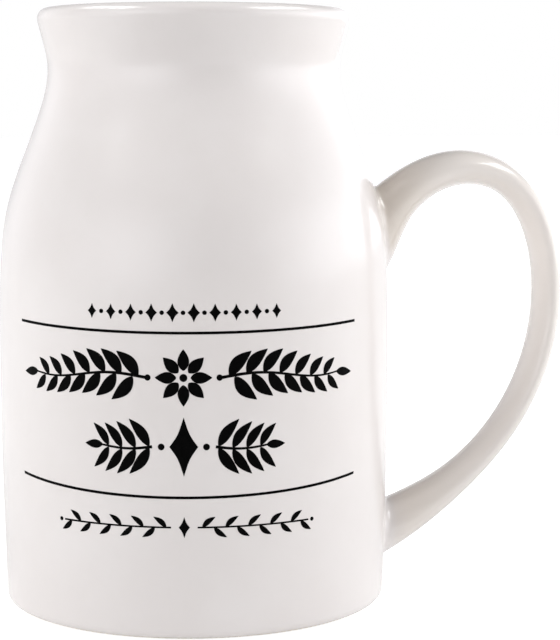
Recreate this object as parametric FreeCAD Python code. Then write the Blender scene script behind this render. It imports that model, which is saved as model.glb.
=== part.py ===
import FreeCAD, Part
import math
import os

# A one-handled ceramic serving jug in the form of a short milk bottle: a
# slightly barrelled body, a round shoulder, a narrow neck that flares to a
# rounded lip, a shallow foot ring, and one ear-shaped strap handle.
# Body, lip, foot and handle are fired as one piece, so they are one solid.
#
# Row frame, millimetres: origin on the jug's axis at the plane it stands on,
# +Z up, the handle in the XZ plane on the +X side.

V = FreeCAD.Vector

# ---------------------------------------------------------------- dimensions
HEIGHT = 124.1            # foot to the top of the lip

# outside of the body, (height, radius), foot to lip
SIDE = [
    (1.5, 40.29),         # top of the foot's rounded corner
    (14.4, 40.66),
    (35.1, 41.12),
    (52.5, 41.20),        # belly, the widest place
    (68.5, 40.95),        # the shoulder begins
    (82.5, 39.35),
    (92.8, 36.00),        # steepest part of the shoulder
    (103.1, 32.15),
    (112.3, 30.45),       # neck, the narrowest place
    (117.4, 31.36),
    (121.33, 32.42),      # where the lip starts to round over
]
LIP_R = 30.66             # radius of the lip's crest
LIP_LEAN = 16.0           # degrees that the lip leans out with the flare

# wall and floor
WALL = 3.75               # wall at the body and neck
FLOOR_Z = 6.4             # top of the floor inside
FLOOR_CORNER = 9.0        # radius between floor and wall inside

# foot ring
FOOT_OUT_R = 39.05        # outer edge of the ring's flat
FOOT_IN_R = 35.40         # inner edge of the ring's flat
FOOT_ROUND = 0.9          # rounding of the ring's inner edge
RECESS = 1.7              # depth of the recess inside the ring
RECESS_BLEND = 1.6        # radius between the ring and the recess

# handle: centreline and oval section, from the lower root to the upper one:
# distance from the jug's axis, height, thickness, width across
HANDLE = [
    (34.5, 9.6, 11.6, 16.4),     # inside the wall
    (41.0, 12.3, 10.4, 15.6),
    (48.5, 16.15, 8.55, 14.4),
    (58.1, 22.7, 6.20, 12.9),
    (67.2, 31.9, 5.30, 12.1),
    (73.9, 43.0, 5.20, 11.9),
    (77.55, 54.9, 5.30, 11.9),
    (78.2, 66.9, 5.35, 12.0),
    (75.6, 78.9, 5.70, 12.1),
    (70.0, 86.95, 6.15, 12.4),
    (61.8, 90.6, 7.05, 12.9),
    (53.4, 89.8, 7.85, 13.6),
    (46.8, 86.3, 8.70, 14.6),
    (42.2, 82.0, 10.35, 15.5),
    (38.9, 77.7, 12.9, 16.2),
    (35.4, 72.9, 15.0, 16.8),
    (31.6, 67.4, 15.5, 17.2),    # inside the wall
]
HANDLE_SECTIONS = 29      # ovals that the handle's skin runs through
ROOT_BLEND_TOP = 1.8      # blend where the handle leaves the shoulder
ROOT_BLEND_LOW = 1.8      # blend where it joins the foot end


# ---------------------------------------------------------------- functions
def p(r, z):
    return V(r, 0, z)


def spline(points):
    c = Part.BSplineCurve()
    c.interpolate(Points=points)
    return c


def offset_side(distance, z_low, z_high, count):
    """Points a fixed distance inside the outer side, measured square to it."""
    side = spline([p(r, z) for z, r in SIDE])
    pts = []
    for i in range(count):
        z = z_low + (z_high - z_low) * i / (count - 1)
        u = side.parameter(p(41.0, z))
        for _ in range(30):                     # the point at this height
            q = side.value(u)
            t = side.tangent(u)[0]
            u += (z - q.z) / t.z * (1.0 / math.sqrt(t.x ** 2 + t.z ** 2)) \
                / max(side.getD1(u)[1].Length, 1e-6)
        q = side.value(u)
        t = side.tangent(u)[0]
        n = V(-t.z, 0, t.x)
        if n.x > 0:
            n = V(t.z, 0, -t.x)
        pts.append(q + n * distance)
    return pts


def revolve(wire):
    face = Part.Face(wire)
    return face.revolve(V(0, 0, 0), V(0, 0, 1), 360)


def arc3(a, b, c):
    return Part.Arc(a, b, c).toShape()


def line(a, b):
    return Part.makeLine(a, b)


def corner(a, corner_pt, b, radius):
    """The tangent arc that rounds a corner: its two ends and its middle."""
    da = (a - corner_pt).normalize()
    db = (b - corner_pt).normalize()
    half = da.getAngle(db) / 2.0
    back = radius / math.tan(half)
    pa = corner_pt + da * back
    pb = corner_pt + db * back
    mid = (da + db).normalize()
    centre = corner_pt + mid * (radius / math.sin(half))
    pm = centre - mid * radius
    return pa, pm, pb


# ---------------------------------------------------------------- the wall
side_pts = [p(r, z) for z, r in SIDE]
side = spline(side_pts)

# the lip: half an oval, leaning out a little with the flare of the neck
lean = math.radians(LIP_LEAN)
lip_start = side_pts[-1]
lip_b = (HEIGHT - lip_start.z) / (1 + math.sin(lean))
lip_a = (lip_start.x - LIP_R) / math.cos(lean)
lip_mid = p(LIP_R, HEIGHT - lip_b)
lip_oval = Part.Ellipse(lip_mid + V(0, 0, lip_b), lip_mid + V(lip_a, 0, 0), lip_mid)
lip_curve = Part.ArcOfEllipse(lip_oval, lean - math.pi / 2, lean + math.pi / 2)
lip_in = p(LIP_R - lip_a * math.cos(lean), lip_mid.z + lip_b * math.sin(lean))

# inside: from the lip down the neck, shoulder and body to the floor
inner_pts = offset_side(WALL, 24.0, 112.0, 11)
wall_foot = p(inner_pts[0].x - 0.30, FLOOR_Z)
floor_mid = p(0, FLOOR_Z)
inside = spline([lip_in, (lip_in + inner_pts[-1]) * 0.5 + V(0.10, 0, 0)]
                + list(reversed(inner_pts)))
fa, fm, fb = corner(inner_pts[0], wall_foot, floor_mid, FLOOR_CORNER)

# foot: rounded outer corner, flat ring, blend into the recess
ring_out = p(FOOT_OUT_R, 0)
ring_in = p(FOOT_IN_R, 0)
recess_edge = p(FOOT_IN_R - 1.1, RECESS)
recess_mid = p(0, RECESS + 0.35)
ra, rm, rb = corner(ring_out, ring_in, recess_edge, FOOT_ROUND)
ca, cm, cb = corner(ring_in, recess_edge, recess_mid, RECESS_BLEND * 0.5)
foot_mid = p(FOOT_OUT_R, side_pts[0].z)
foot_oval = Part.Ellipse(foot_mid + V(0, 0, -side_pts[0].z),
                         foot_mid + V(side_pts[0].x - FOOT_OUT_R, 0, 0), foot_mid)
foot_corner = Part.ArcOfEllipse(foot_oval, 0, math.pi / 2)

edges = [
    foot_corner.toShape(),
    side.toShape(),
    lip_curve.toShape(),
    inside.toShape(),
    line(inner_pts[0], fa),
    arc3(fa, fm, fb),
    line(fb, floor_mid),
    line(floor_mid, recess_mid),
    line(recess_mid, cb),
    arc3(cb, cm, ca),
    line(ca, rb),
    arc3(rb, rm, ra),
    line(ra, ring_out),
]
shell = revolve(Part.Wire(edges))

# ---------------------------------------------------------------- the handle
path = spline([p(r, z) for r, z, t, w in HANDLE])
knots = [path.parameter(p(r, z)) for r, z, t, w in HANDLE]
thick = spline([V(k, t, 0) for k, (r, z, t, w) in zip(knots, HANDLE)])
width = spline([V(k, w, 0) for k, (r, z, t, w) in zip(knots, HANDLE)])


def along(curve, k):
    """The y value of a graph curve at x = k."""
    lo, hi = curve.FirstParameter, curve.LastParameter
    for _ in range(50):
        mid = (lo + hi) / 2
        if curve.value(mid).x < k:
            lo = mid
        else:
            hi = mid
    return curve.value((lo + hi) / 2).y


wires = []
for i in range(HANDLE_SECTIONS):
    k = knots[0] + (knots[-1] - knots[0]) * i / (HANDLE_SECTIONS - 1)
    c = path.value(k)
    t = path.tangent(k)[0]
    n = V(-t.z, 0, t.x)
    a = along(width, k) / 2
    b = along(thick, k) / 2
    if a > b:
        oval = Part.Ellipse(c + V(0, a, 0), c + n * b, c)
    else:
        oval = Part.Ellipse(c + n * b, c + V(0, a, 0), c)
    wires.append(Part.Wire([oval.toShape()]))
handle = Part.makeLoft(wires, True, False)

# the handle's ends stop half way through the wall
mid_wall = offset_side(WALL / 2, 3.0, 118.0, 16)
core_edge = spline(mid_wall)
core = revolve(Part.Wire([
    core_edge.toShape(),
    line(mid_wall[-1], p(0, mid_wall[-1].z)),
    line(p(0, mid_wall[-1].z), p(0, mid_wall[0].z)),
    line(p(0, mid_wall[0].z), mid_wall[0]),
]))
handle = max(handle.cut(core).Solids, key=lambda s: s.Volume)

jug = shell.fuse(handle)
jug = max(jug.Solids, key=lambda s: s.Volume)


# ---------------------------------------------------------------- the roots
def root_edges(shape, z_low, z_high):
    """Edges where the handle's skin meets the body's outside."""
    found = []
    for e in shape.Edges:
        b = e.BoundBox
        if b.ZMin < z_low or b.ZMax > z_high or b.XMin < 25 or b.YLength > 24:
            continue
        q = e.valueAt((e.FirstParameter + e.LastParameter) / 2)
        r = math.hypot(q.x, q.y)
        want = radius_at(q.z)
        if abs(r - want) < 0.25:
            found.append(e)
    return found


def radius_at(z):
    lo, hi = side.FirstParameter, side.LastParameter
    for _ in range(50):
        mid = (lo + hi) / 2
        if side.value(mid).z < z:
            lo = mid
        else:
            hi = mid
    return side.value((lo + hi) / 2).x


for z0, z1, blend in ((60.0, 100.0, ROOT_BLEND_TOP), (0.5, 35.0, ROOT_BLEND_LOW)):
    es = root_edges(jug, z0, z1)
    print("root edges", len(es), [round(e.Length, 1) for e in es])
    r = blend
    while r > 0.5:
        try:
            cand = jug.makeFillet(r, es)
            if cand.isValid() and cand.Volume > jug.Volume:
                jug = cand
                print("blend", r)
                break
        except Exception as error:
            print("blend", r, "failed", error)
        r *= 0.85

if len(jug.Solids) == 1:
    jug = jug.Solids[0]

os.makedirs("parts", exist_ok=True)
jug.exportStep("parts/jug.step")
print("valid", jug.isValid(), "volume ml", round(jug.Volume / 1000, 2),
      "box", jug.BoundBox, "faces", len(jug.Faces))
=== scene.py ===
import math

import bmesh
import bpy
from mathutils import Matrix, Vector
from mathutils.bvhtree import BVHTree


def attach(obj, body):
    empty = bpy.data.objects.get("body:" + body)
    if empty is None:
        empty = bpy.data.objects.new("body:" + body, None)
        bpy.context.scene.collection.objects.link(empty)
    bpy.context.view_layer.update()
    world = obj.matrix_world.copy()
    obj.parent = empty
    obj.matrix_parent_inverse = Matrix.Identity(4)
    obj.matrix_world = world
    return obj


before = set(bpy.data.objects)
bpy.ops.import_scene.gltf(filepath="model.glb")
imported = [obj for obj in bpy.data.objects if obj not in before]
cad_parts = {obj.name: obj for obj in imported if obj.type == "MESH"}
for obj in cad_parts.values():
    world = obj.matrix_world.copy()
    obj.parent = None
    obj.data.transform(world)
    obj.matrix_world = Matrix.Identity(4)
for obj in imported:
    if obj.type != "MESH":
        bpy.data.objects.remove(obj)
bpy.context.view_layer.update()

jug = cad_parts["jug"]
scene = bpy.context.scene
MM = 0.001


# ------------------------------------------------------------ node helpers
class Nodes:
    """A small wrapper that makes and links shader nodes."""

    def __init__(self, tree):
        self.tree = tree
        tree.nodes.clear()

    def new(self, kind, **values):
        n = self.tree.nodes.new(kind)
        for k, v in values.items():
            setattr(n, k, v)
        return n

    def link(self, a, b):
        self.tree.links.new(a, b)

    def math(self, op, a, b=None, clamp=False):
        n = self.new("ShaderNodeMath", operation=op, use_clamp=clamp)
        for i, v in enumerate((a, b)):
            if v is None:
                continue
            if isinstance(v, (int, float)):
                n.inputs[i].default_value = v
            else:
                self.link(v, n.inputs[i])
        return n.outputs[0]

    def step(self, value, lo, hi, out_lo=0.0, out_hi=1.0):
        """A smooth step of value from lo to hi."""
        n = self.new("ShaderNodeMapRange", interpolation_type="SMOOTHSTEP")
        self.link(value, n.inputs["Value"])
        n.inputs["From Min"].default_value = lo
        n.inputs["From Max"].default_value = hi
        n.inputs["To Min"].default_value = out_lo
        n.inputs["To Max"].default_value = out_hi
        return n.outputs["Result"]

    def noise(self, vector, scale, detail=2.0, rough=0.5, distort=0.0):
        n = self.new("ShaderNodeTexNoise")
        n.inputs["Scale"].default_value = scale
        n.inputs["Detail"].default_value = detail
        n.inputs["Roughness"].default_value = rough
        n.inputs["Distortion"].default_value = distort
        self.link(vector, n.inputs["Vector"])
        return n.outputs["Fac"]

    def mix(self, fac, a, b):
        n = self.new("ShaderNodeMix", data_type="RGBA")
        if isinstance(fac, (int, float)):
            n.inputs[0].default_value = fac
        else:
            self.link(fac, n.inputs[0])
        for i, v in ((6, a), (7, b)):
            if isinstance(v, tuple):
                n.inputs[i].default_value = (*v, 1.0)
            else:
                self.link(v, n.inputs[i])
        return n.outputs[2]

    def bump(self, height, distance, strength=1.0, normal=None):
        n = self.new("ShaderNodeBump")
        n.inputs["Distance"].default_value = distance
        n.inputs["Strength"].default_value = strength
        self.link(height, n.inputs["Height"])
        if normal is not None:
            self.link(normal, n.inputs["Normal"])
        return n.outputs["Normal"]


def material(name):
    m = bpy.data.materials.new(name)
    m.use_nodes = True
    g = Nodes(m.node_tree)
    out = g.new("ShaderNodeOutputMaterial")
    p = g.new("ShaderNodeBsdfPrincipled")
    g.link(p.outputs[0], out.inputs["Surface"])
    return m, g, p


# ------------------------------------------------------------ the glaze
WHITE_A = (0.815, 0.774, 0.752)      # glaze where it lies thick
WHITE_B = (0.835, 0.797, 0.777)      # and where it lies thinner
CREAM = (0.850, 0.800, 0.752)        # a creamier tint on the handle
ROOT_SHADE = (0.720, 0.655, 0.585)         # painted shade in the crooks of the handle's roots
BISQUE_A = (0.78, 0.735, 0.66)       # bare fired body on the foot ring
BISQUE_B = (0.70, 0.65, 0.57)


def glaze_material():
    m, g, p = material("white_glaze")
    tc = g.new("ShaderNodeTexCoord").outputs["Object"]
    sep = g.new("ShaderNodeSeparateXYZ")
    g.link(tc, sep.inputs[0])
    x, y, z = sep.outputs
    r = g.math("SQRT", g.math("ADD", g.math("MULTIPLY", x, x), g.math("MULTIPLY", y, y)))

    # colour: soft pools of thicker and thinner glaze, and a few pinholes
    pools = g.noise(tc, 42.0, 3.0, 0.55)
    fine = g.noise(tc, 420.0, 2.0, 0.6)
    tone = g.mix(g.step(pools, 0.36, 0.66), WHITE_A, WHITE_B)
    tone = g.mix(g.step(fine, 0.55, 0.80, 0.0, 0.16), tone, (0.780, 0.745, 0.715))
    cell = g.new("ShaderNodeTexVoronoi", feature="F1", distance="EUCLIDEAN")
    cell.inputs["Scale"].default_value = 88.0
    g.link(tc, cell.inputs["Vector"])
    hole = g.step(cell.outputs["Distance"], 0.011, 0.020, 1.0, 0.0)
    rare = g.new("ShaderNodeSeparateColor")
    g.link(cell.outputs["Color"], rare.inputs[0])
    hole = g.math("MULTIPLY", hole, g.step(rare.outputs[0], 0.80, 0.82))
    tone = g.mix(g.math("MULTIPLY", hole, 0.45), tone, (0.46, 0.40, 0.34))
    # a creamier tint on the handle, and painted shade at its roots where they meet the wall; the
    # wall stays white
    above = g.math("MAXIMUM", g.math("SUBTRACT", z, 0.0685), 0.0)
    off_wall = g.math("ADD", r, g.math("MULTIPLY", above, 0.255))
    side = g.math("MULTIPLY", g.step(g.math("ABSOLUTE", y), 0.0090, 0.0112, 1.0, 0.0),
                  g.step(x, 0.031, 0.034))
    side = g.math("MULTIPLY", side, g.step(z, 0.098, 0.103, 1.0, 0.0))
    arm = g.math("MULTIPLY", side, g.step(off_wall, 0.0426, 0.0470))
    tone = g.mix(arm, tone, CREAM)
    # painted shade: the roots darken where the handle meets the wall, more at the upper root than
    # the lower
    root = g.math("MULTIPLY", g.math("MULTIPLY", side, g.step(off_wall, 0.0422, 0.0440)),
                  g.step(off_wall, 0.0450, 0.0620, 1.0, 0.0))
    root = g.math("MULTIPLY", root, g.step(z, 0.030, 0.070, 0.35, 1.0))
    tone = g.mix(g.math("MULTIPLY", root, g.step(pools, 0.25, 0.60, 0.75, 1.0)), tone, ROOT_SHADE)
    # the glaze draws thin over the lip's crest
    crest = g.step(z, 0.1229, 0.1240)
    tone = g.mix(g.math("MULTIPLY", crest, 0.35), tone, (0.75, 0.72, 0.70))

    # the foot ring is wiped clean of glaze: its edge wanders a little
    wander = g.math("MULTIPLY", g.math("SUBTRACT", g.noise(tc, 260.0, 3.0), 0.5), 0.0006)
    low = g.step(g.math("ADD", z, wander), 0.00024, 0.00046, 1.0, 0.0)
    ring = g.math("MULTIPLY", low, g.step(r, 0.0340, 0.0344))
    grain = g.noise(tc, 2600.0, 4.0, 0.7)
    bare = g.mix(g.step(grain, 0.35, 0.7), BISQUE_A, BISQUE_B)
    tone = g.mix(ring, tone, bare)
    g.link(tone, p.inputs["Base Color"])

    # gloss: slightly uneven, dull on the bare ring
    sheen = g.step(g.noise(tc, 75.0, 4.0, 0.6), 0.3, 0.75, 0.18, 0.26)
    rough = g.new("ShaderNodeMix", data_type="FLOAT")
    g.link(ring, rough.inputs[0])
    g.link(sheen, rough.inputs[2])
    rough.inputs[3].default_value = 0.85
    g.link(rough.outputs[0], p.inputs["Roughness"])
    p.inputs["IOR"].default_value = 1.50
    p.inputs["Coat Weight"].default_value = 0.25
    p.inputs["Coat Roughness"].default_value = 0.09
    p.inputs["Coat IOR"].default_value = 1.50
    p.inputs["Subsurface Weight"].default_value = 0.0

    # relief: long soft waves of the cast body, orange peel of the glaze
    n = g.bump(g.noise(tc, 95.0, 1.5, 0.4), 0.00016, 0.35)
    n = g.bump(g.noise(tc, 1500.0, 2.0, 0.5), 0.000012, 0.55, n)
    n = g.bump(g.math("MULTIPLY", hole, -1.0), 0.00012, 0.8, n)
    n = g.bump(g.math("MULTIPLY", grain, ring), 0.00010, 0.9, n)
    g.link(n, p.inputs["Normal"])
    return m


def print_material():
    m, g, p = material("black_print")
    tc = g.new("ShaderNodeTexCoord").outputs["Object"]
    wear = g.noise(tc, 900.0, 3.0, 0.6)
    tone = g.mix(g.step(wear, 0.45, 0.85), (0.0010, 0.0010, 0.0010), (0.0028, 0.0027, 0.0027))
    g.link(tone, p.inputs["Base Color"])
    g.link(g.step(g.noise(tc, 220.0, 2.0), 0.3, 0.7, 0.24, 0.36), p.inputs["Roughness"])
    p.inputs["Specular IOR Level"].default_value = 0.03
    n = g.bump(g.noise(tc, 2200.0, 2.0, 0.5), 0.00001, 0.4)
    g.link(n, p.inputs["Normal"])
    return m


glaze = glaze_material()
ink = print_material()
jug.data.materials.clear()
jug.data.materials.append(glaze)
for poly in jug.data.polygons:
    poly.material_index = 0


# ------------------------------------------------------------ the print
# Flat shapes are drawn in a strip (s to the right, h up, millimetres) and
# wrapped onto the jug's own surface.
BELLY_R = 41.2
PRINT_AZ = -101.5                     # degrees: middle of the print
RULE_HALF = 39.0                      # half the length of a rule
RULE_W = 0.54
RULE_HIGH, RULE_HIGH_SAG = 61.3, 0.62
RULE_LOW, RULE_LOW_SAG = 30.3, 1.80
PROUD, SUNK = 0.035, 0.075            # film above and below the glaze

surface = BVHTree.FromObject(jug, bpy.context.evaluated_depsgraph_get())


class Strip:
    """Collects flat shapes as fine quads, then wraps them on the jug."""

    def __init__(self):
        self.verts, self.faces = [], []

    def grid(self, fn, nu, nv):
        """Quads over fn(u, v), u and v from 0 to 1."""
        base = len(self.verts)
        for i in range(nu + 1):
            for j in range(nv + 1):
                self.verts.append(fn(i / nu, j / nv))
        for i in range(nu):
            for j in range(nv):
                a = base + i * (nv + 1) + j
                self.faces.append((a, a + nv + 1, a + nv + 2, a + 1))

    def fan(self, cx, cy, outline):
        """A closed shape from its centre: rings of quads and a core fan."""
        n = len(outline)
        base = len(self.verts)
        self.verts.append((cx, cy))
        for k in (0.5, 1.0):
            for (x, y) in outline:
                self.verts.append((cx + (x - cx) * k, cy + (y - cy) * k))
        for i in range(n):
            j = (i + 1) % n
            self.faces.append((base, base + 1 + i, base + 1 + j))
            self.faces.append((base + 1 + i, base + 1 + n + i,
                               base + 1 + n + j, base + 1 + j))

    def stroke(self, path, width, nu=40):
        """A line of varying width along path(u), width(u)."""
        def fn(u, v):
            e = 1e-3
            x0, y0 = path(max(0, u - e))
            x1, y1 = path(min(1, u + e))
            dx, dy = x1 - x0, y1 - y0
            d = math.hypot(dx, dy) or 1.0
            x, y = path(u)
            w = width(u) * (v - 0.5)
            return (x - dy / d * w, y + dx / d * w)
        self.grid(fn, nu, 2)

    def leaf(self, x, y, angle, length, width, bend=0.0, flip=1, nu=16):
        """A pointed leaf from its base (x, y)."""
        a = math.radians(angle)
        ca, sa = math.cos(a), math.sin(a)

        def fn(u, v):
            half = width / 2 * (math.sin(math.pi * u ** 0.80) ** 0.92)
            px = length * u
            py = bend * math.sin(math.pi * u) + half * (2 * v - 1)
            return (x + flip * (px * ca - py * sa), y + px * sa + py * ca)
        e = 0.012

        def open_ends(u, v):
            return fn(e + (1 - 2 * e) * u, v)
        self.grid(open_ends, nu, 4)

    def disc(self, x, y, radius, n=20):
        self.fan(x, y, [(x + radius * math.cos(2 * math.pi * i / n),
                         y + radius * math.sin(2 * math.pi * i / n)) for i in range(n)])

    def lozenge(self, x, y, wide, tall, pinch=0.0, n=6):
        """A diamond whose sides may curve in."""
        pts = []
        corners = [(wide / 2, 0), (0, tall / 2), (-wide / 2, 0), (0, -tall / 2)]
        for i in range(4):
            (ax, ay), (bx, by) = corners[i], corners[(i + 1) % 4]
            for k in range(n):
                t = k / n
                f = 1 - pinch * math.sin(math.pi * t)
                pts.append((x + (ax + (bx - ax) * t) * f, y + (ay + (by - ay) * t) * f))
        self.fan(x, y, pts)

    def ring(self, x, y, radius, width, n=36):
        def fn(u, v):
            a = 2 * math.pi * u
            q = radius + width * (v - 0.5)
            return (x + q * math.cos(a), y + q * math.sin(a))
        self.grid(fn, n, 2)

    def wrap(self, name):
        """The mesh of all shapes on the jug's surface, as thin closed films."""
        mesh = bpy.data.meshes.new(name)
        top, low = [], []
        for s, h in self.verts:
            az = math.radians(PRINT_AZ) + s / BELLY_R
            out = Vector((math.cos(az), math.sin(az), 0))
            start = Vector((0, 0, h * MM)) + out * 0.06
            hit, normal, _, _ = surface.ray_cast(start, -out, 0.06)
            if normal.dot(out) < 0:
                normal = -normal
            top.append(hit + out * PROUD * MM)
            low.append(hit - out * SUNK * MM)
        bm = bmesh.new()
        vt = [bm.verts.new(v) for v in top]
        vl = [bm.verts.new(v) for v in low]
        edge_use = {}
        for f in self.faces:
            f = tuple(dict.fromkeys(f))
            bm.faces.new([vt[i] for i in f])
            bm.faces.new([vl[i] for i in reversed(f)])
            for i in range(len(f)):
                a, b = f[i], f[(i + 1) % len(f)]
                edge_use[(a, b)] = edge_use.get((a, b), 0) + 1
        for (a, b) in edge_use:
            if (b, a) not in edge_use:
                bm.faces.new([vt[b], vt[a], vl[a], vl[b]])
        bmesh.ops.remove_doubles(bm, verts=bm.verts, dist=1e-7)
        bmesh.ops.recalc_face_normals(bm, faces=bm.faces)
        bm.to_mesh(mesh)
        bm.free()
        ob = bpy.data.objects.new(name, mesh)
        scene.collection.objects.link(ob)
        ob.data.materials.append(ink)
        for poly in mesh.polygons:
            poly.use_smooth = False
        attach(ob, "root")
        return ob


def rule(name, height, sag):
    s = Strip()

    def fn(u, v):
        t = 2 * u - 1
        return (RULE_HALF * t, height - sag * (1 - t * t) + RULE_W * (v - 0.5))
    s.grid(fn, 160, 2)
    return s.wrap(name)


def flower(s, x, y, reach, petals):
    for i in range(petals):
        a = 360.0 * i / petals + 90
        s.leaf(x + reach * 0.24 * math.cos(math.radians(a)),
               y + reach * 0.24 * math.sin(math.radians(a)), a,
               reach * 0.74, reach * 0.40)
    s.disc(x, y, reach * 0.135)


def garland(name):
    """A flower between two leafy sprigs that run out to the sides."""
    s = Strip()
    y = 52.0
    flower(s, 0, y, 5.7, 8)
    for flip in (1, -1):
        x0, x1 = 7.4, 33.4

        def path(u, flip=flip):
            x = x0 + (x1 - x0) * u
            return (flip * x, y + 0.75 * math.sin(2 * math.pi * u * 0.92))
        s.stroke(path, lambda u: 0.62 - 0.30 * u, 60)
        s.disc(flip * 7.0, y, 0.62)
        pairs = 7
        for i in range(pairs):
            u = 0.055 + 0.80 * i / (pairs - 1)
            px, py = path(u)
            k = 1.0 - 0.34 * (i / (pairs - 1)) ** 1.4
            s.leaf(px, py + 0.12, 46, 6.5 * k, 2.55 * k, 0.42 * k, flip)
            s.leaf(px + flip * 1.1, py - 0.12, -46, 6.5 * k, 2.55 * k, -0.42 * k, flip)
        px, py = path(1.0)
        s.leaf(px - flip * 0.3, py, -6, 4.6, 1.75, 0.0, flip)
    return s.wrap(name)


def ears(name):
    """Two short leafy ears that lean out from a lozenge."""
    s = Strip()
    y = 38.5
    s.lozenge(0, y, 5.6, 11.6, 0.16)
    for dx in (4.4, -4.4):
        s.disc(dx, y, 0.66)
    for flip in (1, -1):
        x0, x1 = 6.2, 16.7

        def path(u, flip=flip):
            x = x0 + (x1 - x0) * u
            return (flip * x, y - 0.5 * math.sin(math.pi * u))
        s.stroke(path, lambda u: 0.58 - 0.20 * u, 40)
        pairs = 4
        for i in range(pairs):
            u = 0.05 + 0.80 * i / (pairs - 1)
            px, py = path(u)
            k = 1.0 - 0.20 * (i / (pairs - 1)) ** 1.3
            for side in (1, -1):
                s.leaf(px, py + side * 0.16, side * 52, 6.7 * k, 2.15 * k, side * 0.34, flip)
        px, py = path(1.0)
        s.leaf(px - flip * 0.3, py, 0, 4.0, 1.7, 0.0, flip)
    return s.wrap(name)


def beads(name, y, half, count, wide, tall, dot):
    """A fine line of lozenges and dots."""
    s = Strip()
    for i in range(count):
        t = -1 + 2 * i / (count - 1)
        x = half * t
        if i % 2 == 0:
            k = 1.0 + 0.30 * (1 - abs(t))
            s.lozenge(x, y, wide * k, tall * k, 0.18)
        else:
            s.disc(x, y, dot)
    return s.wrap(name)


def twigs(name, y, half, count):
    """A fine line of small slanted leaves on a thin stem, mirrored."""
    s = Strip()
    s.lozenge(0, y, 2.2, 4.2, 0.18)
    for flip in (1, -1):
        def path(u, flip=flip):
            return (flip * (2.6 + (half - 2.6) * u), y)
        s.stroke(path, lambda u: 0.34, 60)
        for i in range(count):
            u = 0.04 + 0.88 * i / (count - 1)
            px, py = path(u)
            side = 1 if i % 2 == 0 else -1
            s.leaf(px, py + side * 0.05, side * 38, 3.3, 1.10, side * 0.2, flip)
        s.disc(flip * (half + 0.9), y, 0.42)
    return s.wrap(name)


rule("print_rule_high", RULE_HIGH, RULE_HIGH_SAG)
rule("print_rule_low", RULE_LOW, RULE_LOW_SAG)
garland("print_garland")
ears("print_ears")
beads("print_beads", 64.6, 18.6, 19, 1.9, 2.9, 0.44)
twigs("print_twigs", 22.6, 26.0, 10)

# ------------------------------------------------------------ the stage
VIEW_TURN = 11.0                      # degrees that the handle turns away


def from_view(x, y, z):
    """A point given across, away and up as the camera sees it, in metres."""
    a = math.radians(-VIEW_TURN)
    return Vector((x * math.cos(a) - y * math.sin(a), x * math.sin(a) + y * math.cos(a), z))


floor_mesh = bpy.data.meshes.new("floor")
bm = bmesh.new()
bmesh.ops.create_grid(bm, x_segments=24, y_segments=24, size=6.0)
bm.to_mesh(floor_mesh)
bm.free()
floor = bpy.data.objects.new("floor", floor_mesh)
floor.location = (0, 0, -0.0002)
scene.collection.objects.link(floor)


# The studio round the jug. Brightness by view azimuth (0 right, 90 behind,
# 180 left, 270 at the camera): two broad soft boxes at the sides, a white
# backdrop, and a dark camera side and ceiling.
LOW = (2.75, 2.75, 2.70, 2.35, 1.86, 1.55, 1.05, 0.79, 0.59, 0.94, 1.01, 0.57,
       0.39, 0.48, 1.00, 1.85, 2.45, 1.95, 0.80, 0.05, 0.00, 0.28, 1.32, 2.25)
MID = (0.62, 0.50, 0.00, 0.00, 0.33, 0.56, 0.00, 0.42, 0.67, 0.00, 0.00, 0.12)
TOP = 0.02
FLOOR_NEAR = (0.29, 0.02, 0.41, 0.14)
FLOOR_MID = (0.49, 0.44, 0.34, 0.02)
FLOOR_FAR = 0.64
PEAK = 4.0


def view_azimuth(g, vector, extra=0.0):
    """Azimuth as the camera sees it, as turns from 0 to 1, with x, y, z."""
    sep = g.new("ShaderNodeSeparateXYZ")
    g.link(vector, sep.inputs[0])
    a = g.math("ARCTAN2", sep.outputs[1], sep.outputs[0])
    a = g.math("ADD", a, math.radians(VIEW_TURN + extra) + 4 * math.pi)
    a = g.math("MODULO", a, 2 * math.pi)
    return g.math("DIVIDE", a, 2 * math.pi), sep.outputs


def round_ramp(g, turn, values):
    """Values spaced evenly round the circle, joined smoothly."""
    ramp = g.new("ShaderNodeValToRGB")
    cr = ramp.color_ramp
    cr.interpolation = "LINEAR"
    n = len(values)
    for k in range(n + 1):
        v = values[k % n] / PEAK
        if k == 0:
            e = cr.elements[0]
            e.position = 0.0
        elif k == n:
            e = cr.elements[-1]
            e.position = 1.0
        else:
            e = cr.elements.new(k / n)
        e.color = (v, v, v, 1.0)
    g.link(turn, ramp.inputs["Fac"])
    return g.math("MULTIPLY", ramp.outputs["Color"], PEAK)


def blend(g, fac, a, b):
    n = g.new("ShaderNodeMix", data_type="FLOAT")
    g.link(fac, n.inputs[0])
    for i, v in ((2, a), (3, b)):
        if isinstance(v, (int, float)):
            n.inputs[i].default_value = v
        else:
            g.link(v, n.inputs[i])
    return n.outputs[0]


fm, g, p = material("pale_floor")
tc = g.new("ShaderNodeTexCoord").outputs["Object"]
turn, (fx, fy, _) = view_azimuth(g, tc)
reach = g.math("SQRT", g.math("ADD", g.math("MULTIPLY", fx, fx), g.math("MULTIPLY", fy, fy)))
glow = blend(g, g.step(reach, 0.11, 0.22), round_ramp(g, turn, FLOOR_NEAR),
             round_ramp(g, turn, FLOOR_MID))
glow = blend(g, g.step(reach, 0.60, 1.20), glow, FLOOR_FAR)
ray = g.new("ShaderNodeLightPath").outputs["Is Camera Ray"]
speck = g.step(g.noise(tc, 900.0, 3.0, 0.6), 0.3, 0.7)
p.inputs["Base Color"].default_value = (0.70, 0.70, 0.70, 1)
g.link(g.mix(speck, (0.70, 0.70, 0.70), (0.715, 0.71, 0.705)), p.inputs["Base Color"])
g.link(g.step(g.noise(tc, 60.0, 2.0), 0.3, 0.7, 0.85, 0.95), p.inputs["Roughness"])
p.inputs["Specular IOR Level"].default_value = 0.1
p.inputs["Emission Color"].default_value = (1, 1, 1, 1)
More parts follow.
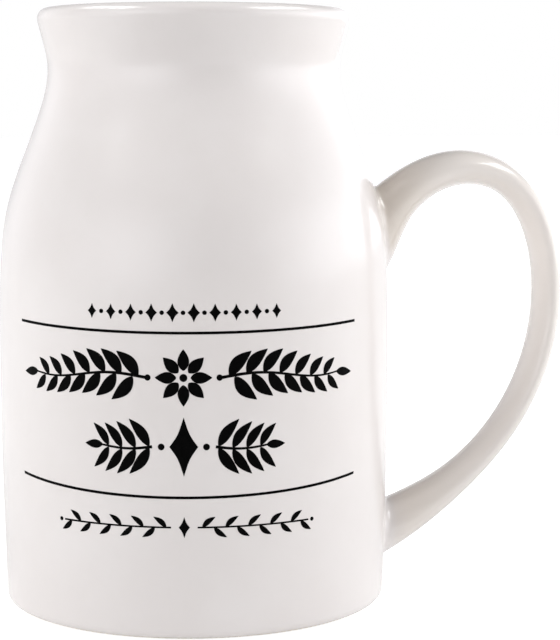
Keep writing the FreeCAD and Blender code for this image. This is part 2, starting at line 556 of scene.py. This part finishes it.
g.link(blend(g, ray, glow, 0.78), p.inputs["Emission Strength"])
floor.data.materials.append(fm)


def area(name, at, target, wide, tall, watts, colour=(1, 1, 1)):
    d = bpy.data.lights.new(name, "AREA")
    d.shape = "RECTANGLE"
    d.size, d.size_y = wide, tall
    d.energy = watts
    d.color = colour
    o = bpy.data.objects.new(name, d)
    o.location = at
    o.rotation_euler = (Vector(target) - Vector(at)).to_track_quat("-Z", "Y").to_euler()
    scene.collection.objects.link(o)
    return o


def softbox(name, azimuth, elevation, away, wide, tall, watts):
    """A soft box that faces the jug from a view azimuth and an elevation."""
    a, e = math.radians(azimuth), math.radians(elevation)
    at = from_view(away * math.cos(e) * math.cos(a), away * math.cos(e) * math.sin(a),
                   0.10 + away * math.sin(e))
    return area(name, at, Vector((0, 0, 0.10)), wide, tall, watts)


softbox("softbox_left", 192.0, 47.5, 1.1, 0.80, 0.32, 6.8)
softbox("softbox_right", 355.0, 46.5, 1.1, 0.80, 0.32, 6.0)

world = bpy.data.worlds.new("studio")
scene.world = world
world.use_nodes = True
g = Nodes(world.node_tree)
out = g.new("ShaderNodeOutputWorld")
way = g.new("ShaderNodeTexCoord").outputs["Generated"]
turn, (_, _, up) = view_azimuth(g, way)
low_turn, _ = view_azimuth(g, way, 7.5)      # each value of LOW stands half a step back
height = g.math("MULTIPLY", g.math("ARCSINE", up), 180.0 / math.pi)
glow = blend(g, g.step(height, 9.0, 33.0), round_ramp(g, low_turn, LOW), round_ramp(g, turn, MID))
glow = blend(g, g.step(height, 44.0, 56.0), glow, TOP)
light = g.new("ShaderNodeBackground")
light.inputs["Color"].default_value = (1.0, 1.0, 1.035, 1)
g.link(glow, light.inputs["Strength"])
seen = g.new("ShaderNodeBackground")
seen.inputs["Color"].default_value = (1, 1, 1, 1)
seen.inputs["Strength"].default_value = 1.0
mix = g.new("ShaderNodeMixShader")
g.link(g.new("ShaderNodeLightPath").outputs["Is Camera Ray"], mix.inputs[0])
g.link(light.outputs[0], mix.inputs[1])
g.link(seen.outputs[0], mix.inputs[2])
g.link(mix.outputs[0], out.inputs["Surface"])

# ------------------------------------------------------------ the camera
cam_data = bpy.data.cameras.new("camera")
cam_data.sensor_fit = "VERTICAL"
cam_data.sensor_height = 36.0
cam_data.lens = 107.83
cam_data.clip_start = 0.01
cam_data.clip_end = 50.0
camera = bpy.data.objects.new("camera", cam_data)
camera.location = from_view(0.01823, -0.4064, 0.10419)
camera.rotation_euler = (math.radians(90.0 - 6.40), 0.0, math.radians(-VIEW_TURN))
scene.collection.objects.link(camera)
scene.camera = camera

scene.view_settings.view_transform = "Standard"
scene.view_settings.look = "None"
